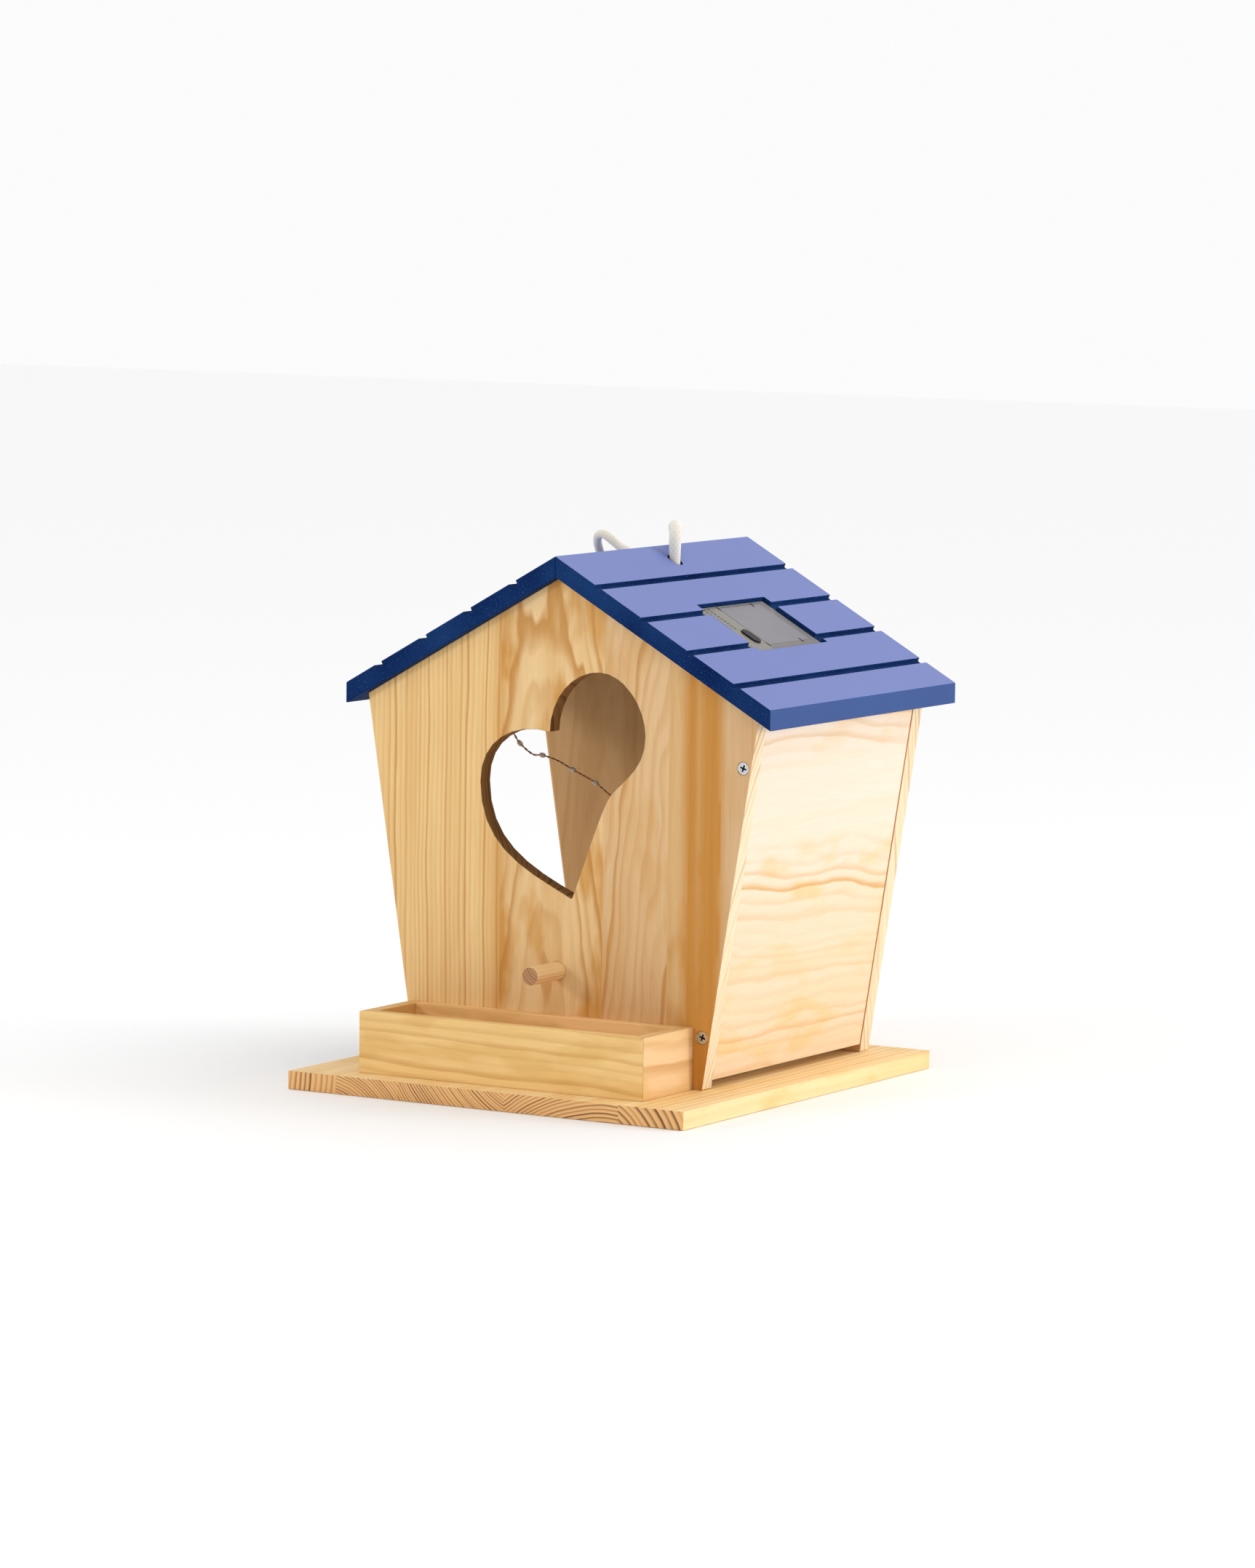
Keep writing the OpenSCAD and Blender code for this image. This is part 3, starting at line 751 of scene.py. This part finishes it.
def printed_dashes(tree, place):
    """Two rows of plain printed dashes beside the button, in black ink."""
    parts = add(tree, "SeparateXYZ", in_0=place)
    # the distance down the slope, in dashes of 1.9 mm
    down = add(tree, "Math", {"operation": "MULTIPLY"}, in_0=parts.outputs[0],
               in_1=1 / (1.9 * MM * math.cos(SLOPE)))
    dash = add(tree, "Math", {"operation": "FRACT"}, in_0=down.outputs[0])
    inked = add(tree, "Math", {"operation": "LESS_THAN"}, in_0=dash.outputs[0], in_1=0.62)
    rows = []
    for row in (CASE_Y + 4.6, CASE_Y + 8.4):
        off = add(tree, "Math", {"operation": "SUBTRACT"}, in_0=parts.outputs[1], in_1=row * MM)
        off = add(tree, "Math", {"operation": "ABSOLUTE"}, in_0=off.outputs[0])
        rows.append(add(tree, "Math", {"operation": "LESS_THAN"}, in_0=off.outputs[0],
                        in_1=0.75 * MM))
    either = add(tree, "Math", {"operation": "MAXIMUM"}, in_0=rows[0].outputs[0],
                 in_1=rows[1].outputs[0])
    upper = add(tree, "Math", {"operation": "LESS_THAN"}, in_0=parts.outputs[0],
                in_1=(SOLAR_S - 1) * MM * math.cos(SLOPE))
    inked = add(tree, "Math", {"operation": "MULTIPLY"}, in_0=inked.outputs[0],
                in_1=either.outputs[0])
    inked = add(tree, "Math", {"operation": "MULTIPLY"}, in_0=inked.outputs[0],
                in_1=upper.outputs[0])
    return inked.outputs[0], rgb("#34322F")


def cell_fingers(tree, place):
    """Thin pale conductor lines across a silicon cell, 3 mm apart."""
    parts = add(tree, "SeparateXYZ", in_0=place)
    across = add(tree, "Math", {"operation": "MULTIPLY"}, in_0=parts.outputs[1],
                 in_1=1 / (3 * MM))
    phase = add(tree, "Math", {"operation": "FRACT"}, in_0=across.outputs[0])
    line = add(tree, "Math", {"operation": "LESS_THAN"}, in_0=phase.outputs[0], in_1=0.08)
    return line.outputs[0], rgb("#8E9096")


def frosted_cover():
    """Frosted acrylic over the cell: greyish, softly glossy, with faint cloudy scuffs."""
    material, tree = new_material("frosted_acrylic")
    place = add(tree, "TexCoord").outputs["Object"]
    haze = add(tree, "TexNoise", in_Vector=place, in_Scale=70.0, in_Detail=3.0)
    colour = add(tree, "Mix", COLOURS, in_0=haze.outputs[0], in_6=rgb("#79757B"),
                 in_7=rgb("#87838A"))
    bump = add(tree, "Bump", in_Strength=0.1, in_Distance=0.02 * MM, in_Height=haze.outputs[0])
    shader = add(tree, "BsdfPrincipled", in_Base_Color=colour.outputs[2], in_Roughness=0.35,
                 in_IOR=1.49, in_Normal=bump.outputs[0])
    finish_material(tree, shader)
    return material


def clear_resin():
    """Hardened drop of resin, half clear and slightly yellow."""
    material, tree = new_material("clear_resin")
    place = add(tree, "TexCoord").outputs["Object"]
    haze = add(tree, "TexNoise", in_Vector=place, in_Scale=900.0, in_Detail=2.0)
    colour = add(tree, "Mix", COLOURS, in_0=haze.outputs[0], in_6=rgb("#F3EBD2"),
                 in_7=rgb("#FFFAEE"))
    shader = add(tree, "BsdfPrincipled", in_Base_Color=colour.outputs[2], in_Roughness=0.1,
                 in_IOR=1.5, in_Transmission_Weight=0.4)
    finish_material(tree, shader)
    return material


def dress(piece, *materials):
    """Gives a piece its materials, the first one all over."""
    piece.data.materials.clear()
    for material in materials:
        piece.data.materials.append(material)
    for polygon in piece.data.polygons:
        polygon.material_index = 0


def dress_where(piece, material, test):
    """Gives another material to the faces whose centre in millimetres and normal pass the test."""
    piece.data.materials.append(material)
    index = len(piece.data.materials) - 1
    for polygon in piece.data.polygons:
        if test(polygon.center / MM, polygon.normal):
            polygon.material_index = index


def cut_at(piece, axis, places):
    """Cuts a board's faces at planes across an axis, where its glued staves meet."""
    activate(piece)
    for place in places:
        point = [0, 0, 0]
        normal = [0, 0, 0]
        point[axis] = place * MM
        normal[axis] = 1
        bpy.ops.object.mode_set(mode="EDIT")
        bpy.ops.mesh.select_all(action="SELECT")
        bpy.ops.mesh.bisect(plane_co=point, plane_no=normal)
        bpy.ops.object.mode_set(mode="OBJECT")


def dress_staves(piece, axis, edges, woods, ends, end_axis):
    """Gives each glued stave its own wood; ends are the end-grain versions of the same staves."""
    cut_at(piece, axis, edges)
    dress(piece, *woods, *ends)
    count = len(woods)
    for polygon in piece.data.polygons:
        centre = polygon.center / MM
        stave = sum(centre[axis] > edge for edge in edges)
        at_end = abs(polygon.normal[end_axis]) > 0.6
        polygon.material_index = stave + (count if at_end else 0)


END = ("#F0BA7A", "#57300C")

# base board: five staves along Y
base = eased_copy("base_board", "base_staves")
for vertex in base.data.vertices:
    vertex.co.z = max(vertex.co.z, 0)
BASE_STAVES = (-78.5, -46.5, 7.5, 64.5)
base_piths = ((-190, 12, 2.7), (-86, -30, 1.3), (40, 60, 1.25), (60, -66, 1.6), (50, -20, 2.9))
base_woods = []
base_ends = []
for number, (x, z, ring) in enumerate(base_piths):
    look = dict(along="Y", pith=(x, z), ring=ring, warp=1.2, wave=0.3, seed=number + 1.0,
                lean=0.01, uneven=0.6)
    base_woods.append(long_grain(f"pine_base_{number}", look, "#F8DAA4", "#D8A456", "#EDBF70",
                                 contrast=0.6))
    base_ends.append(end_grain(f"pine_base_end_{number}", look, *END))
dress_staves(base, 0, BASE_STAVES, base_woods, base_ends, 1)

# tray: one long-grained board on each side
for number, (node, along, pith, early) in enumerate((
    ("tray_front_board", "X", (-115, 60), "#F2CC88"),
    ("tray_back_board", "X", (-90, 50), "#FFD090"),
    ("tray_end_left", "Y", (-30, 52), "#E8BC78"),
    ("tray_end_right", "Y", (46, 14), "#EDC694"),
)):
    board = eased_copy(node, node + "_wood", 0.3)
    look = dict(along=along, pith=pith, ring=4.2, warp=4, wave=1.0, seed=number + 11.0,
                lean=0.03)
    wood = long_grain(f"pine_tray_{number}", look, early, "#C48A36", "#DDB060", contrast=0.7)
    ends = end_grain(f"pine_tray_end_{number}", look, "#D0A058", "#9A6830")
    dress(board, wood)
    if node == "tray_back_board":
        dress_where(board, ends, lambda centre, normal: abs(normal.x) > 0.8)

# front panel: six staves with upright grain
front = eased_copy("front_panel", "front_staves")
FRONT_STAVES = (-30, 22.5, 55, 65, 81)
# honey tone across the panel: streaks beside the heart and a wide ochre band on the right
FRONT_TONES = (
    (-100, 0.1), (-36, 0.1), (-31, 0.6), (-27, 0.35), (-22, 0.1), (-12, 0.0), (-4, 0.35),
    (4, 0.1), (22, 0.15), (52, 0.1), (60, 0.2), (66, 0.9), (70, 0.7), (74, 1.0), (79, 0.75),
    (84, 0.15), (100, 0.1),
)
front_piths = (
    # x and y of the pith, ring, warp, wave, lean, contrast, blotch, early wood and honey
    (-190, -30, 2.5, 3, 0.5, 0.01, 0.9, 0.1, "#EFCB8E", "#CF9547"),
    (-8, -84, 3.4, 9, 2.2, 0.09, 0.9, 0.7, "#EAC892", "#CF9547"),
    (88, -96, 3.2, 9, 1.2, 0.1, 0.95, 0.3, "#E0BD8E", "#CF9547"),
    (150, -60, 5.0, 4, 0.8, 0.02, 0.25, 0.4, "#DCB680", "#C88C40"),
    (150, -60, 5.0, 4, 0.8, 0.02, 0.5, 0.4, "#DCB680", "#C68838"),
    (190, -60, 5.0, 3, 0.6, 0.01, 0.3, 0.2, "#D8B68A", "#C88C40"),
)
front_woods = []
front_ends = []
for number, pith_row in enumerate(front_piths):
    x, y, ring, warp, wave, lean, contrast, blotch, early, honey = pith_row
    look = dict(along="Z", pith=(x, y), ring=ring, warp=warp, wave=wave, seed=number + 21.0,
                lean=lean)
    front_woods.append(long_grain(
        f"pine_front_{number}", look, early, "#BD7F2C", honey, contrast=contrast, blotch=blotch,
        streak=0.25, axis=0, tones=FRONT_TONES))
    front_ends.append(end_grain(f"pine_front_end_{number}", look, "#C39058", "#8A5A2A"))
dress_staves(front, 0, FRONT_STAVES, front_woods, front_ends, 2)
# the heart is sawn out, which leaves its cut edge rough; its dark brown is partly the sawn end grain
# and partly painted shade
sawn_look = dict(along="Z", pith=(-40, -60), ring=2.4, warp=3, seed=33.0)
sawn = end_grain("pine_sawn_edge_and_shade", sawn_look, "#95683A", "#5E3D1C", 0.75)
dress_where(front, sawn, lambda centre, normal: (
    abs(centre.x) < HEART_HALF_W and HEART_LOW < centre.z < HEART_HIGH and abs(normal.y) < 0.8))
# the long outer edges get a paler, greyer copy of the pine: painted light, as on the side wall
edge_look = dict(along="Z", pith=(-60, 20), ring=1.6, warp=2, seed=34.0)
pale_edge_painted_light = long_grain("pine_edge_painted_light", edge_look, "#EFDBB8", "#B5834A", "#E0C292",
                       contrast=0.7, blotch=0.2)


def on_long_edge(centre, normal):
    return abs(normal.x) > 0.9 and abs(centre.x) > PANEL_EDGE_X


dress_where(front, pale_edge_painted_light, on_long_edge)

# back panel: three darker staves
BACK_STAVES = (-30, 22)
back = eased_copy("back_panel", "back_staves")
back_woods = []
back_ends = []
for number, (x, y, ring) in enumerate(((-60, 40, 2.2), (4, 190, 2.4), (110, 30, 2.6))):
    look = dict(along="Z", pith=(x, y), ring=ring, warp=5, wave=1.0, seed=number + 41.0,
                lean=0.04)
    back_woods.append(long_grain(f"pine_back_{number}", look, "#D9AC74", "#B98040", "#C8955A",
                                 contrast=0.45))
    back_ends.append(end_grain(f"pine_back_end_{number}", look, "#C99A62", "#8A5A2C"))
dress_staves(back, 0, BACK_STAVES, back_woods, back_ends, 2)
# the back panel's long edges get the same painted light
dress_where(back, pale_edge_painted_light, on_long_edge)

# side wall: one board with level grain, calm above its middle and warmer at its foot, its outer face
# paler and greyer than the wood as painted light from the softbox on the right; both rows give
# heights in millimetres and values
WALL_LINES = (
    (0, 0.7), (42, 0.7), (50, 0.35), (78, 0.45), (84, 0.95), (106, 0.85), (114, 0.06), (145, 0.06),
    (152, 0.7), (210, 0.7),
)
WALL_TONES = ((0, 0.4), (50, 0.35), (80, 0.3), (100, 0.1), (130, 0.0), (210, 0.0))
wall = eased_copy("side_wall", "wall_board")
wall_look = dict(along="Y", pith=(60, 330), ring=5.6, warp=8, wave=2.0, draw=90, lean=0.05,
                 seed=52.0)
wall_wood_painted_light = long_grain("pine_wall", wall_look, "#EFDCC8", "#D49E4A", "#EFC482", contrast=1.0,
                       blotch=0.55, streak=0.1, axis=2, tones=WALL_TONES, lines=WALL_LINES)
wall_end = end_grain("pine_wall_end", wall_look, "#E2C294", "#9A6A38")
# outer face: the pale wood is painted light
dress(wall, wall_wood_painted_light)
# the inner face gets a darker, browner copy of the wood: painted shade
dress_where(wall, long_grain("pine_wall_inside_painted_shade", wall_look, "#E0B47C", "#B98442", "#CB9250"),
            lambda centre, normal: normal.x < -0.8)
dress_where(wall, wall_end, lambda centre, normal: abs(normal.y) > 0.8)

# perch
perch = eased_copy("perch_dowel", "perch_wood", 0.5)
perch_look = dict(along="Y", pith=(6, 60), ring=1.4, warp=1, seed=61.0)
dress(perch, long_grain("beech_perch", perch_look, "#FFDCA4", "#B98450", "#EDBC7C",
                        contrast=0.6))
dress_where(perch, end_grain("beech_perch_end", perch_look, "#B88860", "#7E5030"),
            lambda centre, normal: normal.y < -0.8)

# roof: copies of one blue paint in three shades: periwinkle tops lightened as a painted sheen,
# mid-blue eaves as painted shade, navy on the grooves and underside as painted shade, and navy on
# the sawn edges as painted shade over paint soaked into end grain
sheen_lit_paint = painted_wood("blue_paint_top_painted_sheen", "#6F7DB9", "#6876B3", 0.3, 0.0, 0.5, 0.5)
eave_shaded_paint = painted_wood("blue_paint_eave_painted_shade", "#365590", "#2A4781", 0.5, 0.02, 0.55, 0.2)
navy_shaded_paint = painted_wood("blue_paint_edge_painted_shade", "#2C5E9C", "#001A4C", 1.5, 0.02, 0.7, 0.05)
for node, name, side in (("roof_left", "roof_left_painted", -1),
                         ("roof_right", "roof_right_painted", 1)):
    half = eased_copy(node, name, 0.45)
    # navy all over first: painted shade in the grooves and underside, painted shade over darker
    # soaked paint on the sawn edges
    dress(half, navy_shaded_paint)
    out = Vector((side * math.sin(SLOPE), 0, math.cos(SLOPE)))
    ridge = Vector((0, 0, RIDGE_Z))
    # the tops get the lighter blue, a painted sheen
    dress_where(half, sheen_lit_paint, lambda centre, normal: (
        normal.dot(out) > 0.7 and (centre - ridge).dot(out) > -0.5))
    # the eaves get the mid-blue, painted shade
    dress_where(half, eave_shaded_paint, lambda centre, normal: normal.x * side > 0.9
                and abs(centre.x) > EAVE_X)

# rope and lights
cotton = braided_cotton()
dress(rope, cotton)
for pair in knots:
    for piece in pair:
        dress(piece, cotton)
dress(wire, metal("copper_wire", "#D9A878", "#A8774C", 0.35, 1.2))
resin = clear_resin()
phosphor = moulded("phosphor_chip", "#E8D27A", "#CDB45A", 0.5)
for bead in beads:
    dress(bead, resin)
for chip in chips:
    dress(chip, phosphor)


def in_recess(axis, low, high):
    """A test for a recess in heads that lie at the low or the high place on an axis."""
    def test(centre, normal):
        depth = min(centre[axis] - low, high - centre[axis])
        return 0.08 < depth < 1.2 and (abs(normal[axis]) < 0.3 or abs(normal[axis]) > 0.9)

    return test


# screws: bright heads, with the cross recess up to 1.2 mm deep darkened as painted shade
zinc = metal("zinc_plated_steel", "#D2D2D4", "#A3A4A7", 0.3, 0.8)
recess = metal("recess_painted_shade", "#2E2E30", "#1E1E20", 0.5, 0.8)
for node, name, test in (("wall_screws", "wall_screw_set", in_recess(1, -52.7, 92.7)),
                         ("base_screws", "base_screw_set", in_recess(2, 0.3, 1000))):
    screws = eased_copy(node, name, 0.1)
    dress(screws, zinc)
    dress_where(screws, recess, test)

# solar unit
case_plastic = moulded("abs_case", "#7D7976", "#6F6B69", 0.5)
# black for the gaps round the cover, where there is only shadow: painted shadow
shadow_gap = moulded("black_painted_gap_shadow", "#141314", "#0D0C0D", 0.8)
solar_out = Vector((math.sin(SLOPE), 0, math.cos(SLOPE)))
case = eased_copy("solar_case", "case_shell", 0.2)
dress(case, case_plastic)
# the steep sides of the cover's pocket in the face are in shadow
dress_where(case, shadow_gap, lambda centre, normal: (
    FACE_N - 0.9 < (centre - Vector((0, 0, RIDGE_Z))).dot(solar_out) < FACE_N - 0.05
    and normal.dot(solar_out) < 0.5
    and CASE_Y + 3 < centre.y < CASE_Y + 54))
cover = eased_copy("cell_cover", "acrylic_cover", 0.2)
dress(cover, frosted_cover())
# the cover's sides are black as painted shadow in the gap
dress_where(cover, shadow_gap, lambda centre, normal: normal.dot(solar_out) < 0.3)
plain_nodes = {
    "lid_screws": zinc,
    "contact_spring": zinc,
    "contact_plate": zinc,
    "wire_staple": zinc,
    "case_lid": case_plastic,
    "solar_cell": moulded("silicon_cell", "#50505C", "#3C3C48", 0.25, cell_fingers),
    "control_label": moulded("label_film", "#8C877F", "#7F7A73", 0.35, printed_dashes),
    "power_button": moulded("black_rubber_button", "#1C1B1D", "#121113", 0.55),
    "circuit_board": moulded("green_circuit_board", "#2F6B45", "#285D3C", 0.4),
    "battery": moulded("battery_sleeve", "#3A6E9E", "#315F8A", 0.3),
}
for node, material in plain_nodes.items():
    dress(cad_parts[node], material)


# ---- stage ----


# strength of the backdrop at eye level and overhead, and of the light from above
HORIZON = 0.97
SKY = 0.62
OVERHEAD = 1.3
FLOOR_GREY = 0.93
SOFTBOXES = (
    # name, place, size and power
    ("softbox_right", (1.7, 0.7, 0.35), 0.6, 12),
    ("softbox_front", (-1.2, -1.9, 0.8), 0.5, 10),
)


def add_lamp(data, place):
    """Puts a lamp at a place, aimed at the feeder."""
    lamp = bpy.data.objects.new(data.name, data)
    bpy.context.collection.objects.link(lamp)
    lamp.location = place
    aim = Vector((0, 0, 0.1)) - lamp.location
    lamp.rotation_euler = aim.to_track_quat("-Z", "Y").to_euler()


def make_stage():
    """Pale floor and backdrop, wide soft light from above, a softbox behind and one in front."""
    deselect()
    # the floor lies a hair under the base, so that no two faces coincide
    bpy.ops.mesh.primitive_plane_add(size=12, location=(0, 0, -0.1 * MM))
    floor = bpy.context.object
    floor.name = "floor"
    material, tree = new_material("white_floor")
    shader = add(tree, "BsdfPrincipled", in_Roughness=0.9,
                 in_Base_Color=(FLOOR_GREY, FLOOR_GREY, FLOOR_GREY, 1))
    finish_material(tree, shader)
    floor.data.materials.append(material)
    world = bpy.data.worlds.new("studio")
    world.use_nodes = True
    bpy.context.scene.world = world
    bpy.context.scene.view_settings.view_transform = "Standard"
    # the backdrop is white at eye level and greyer overhead
    tree = world.node_tree
    heading = add(tree, "SeparateXYZ", in_0=add(tree, "TexCoord").outputs["Generated"])
    height = add(tree, "Math", {"operation": "ABSOLUTE"}, in_0=heading.outputs[2])
    strength = add(tree, "MapRange", in_0=height.outputs[0], in_1=0.07, in_2=0.2, in_3=HORIZON,
                   in_4=SKY)
    tree.links.new(strength.outputs[0], tree.nodes["Background"].inputs[1])
    tree.nodes["Background"].inputs[0].default_value = (1, 1, 1, 1)
    sun = bpy.data.lights.new("overhead", "SUN")
    sun.energy = OVERHEAD
    sun.angle = math.radians(70)
    add_lamp(sun, (0.25, 0.3, 1.2))
    for name, place, size, power in SOFTBOXES:
        box = bpy.data.lights.new(name, "AREA")
        box.shape = "DISK"
        box.size = size
        box.energy = power
        add_lamp(box, place)


make_stage()
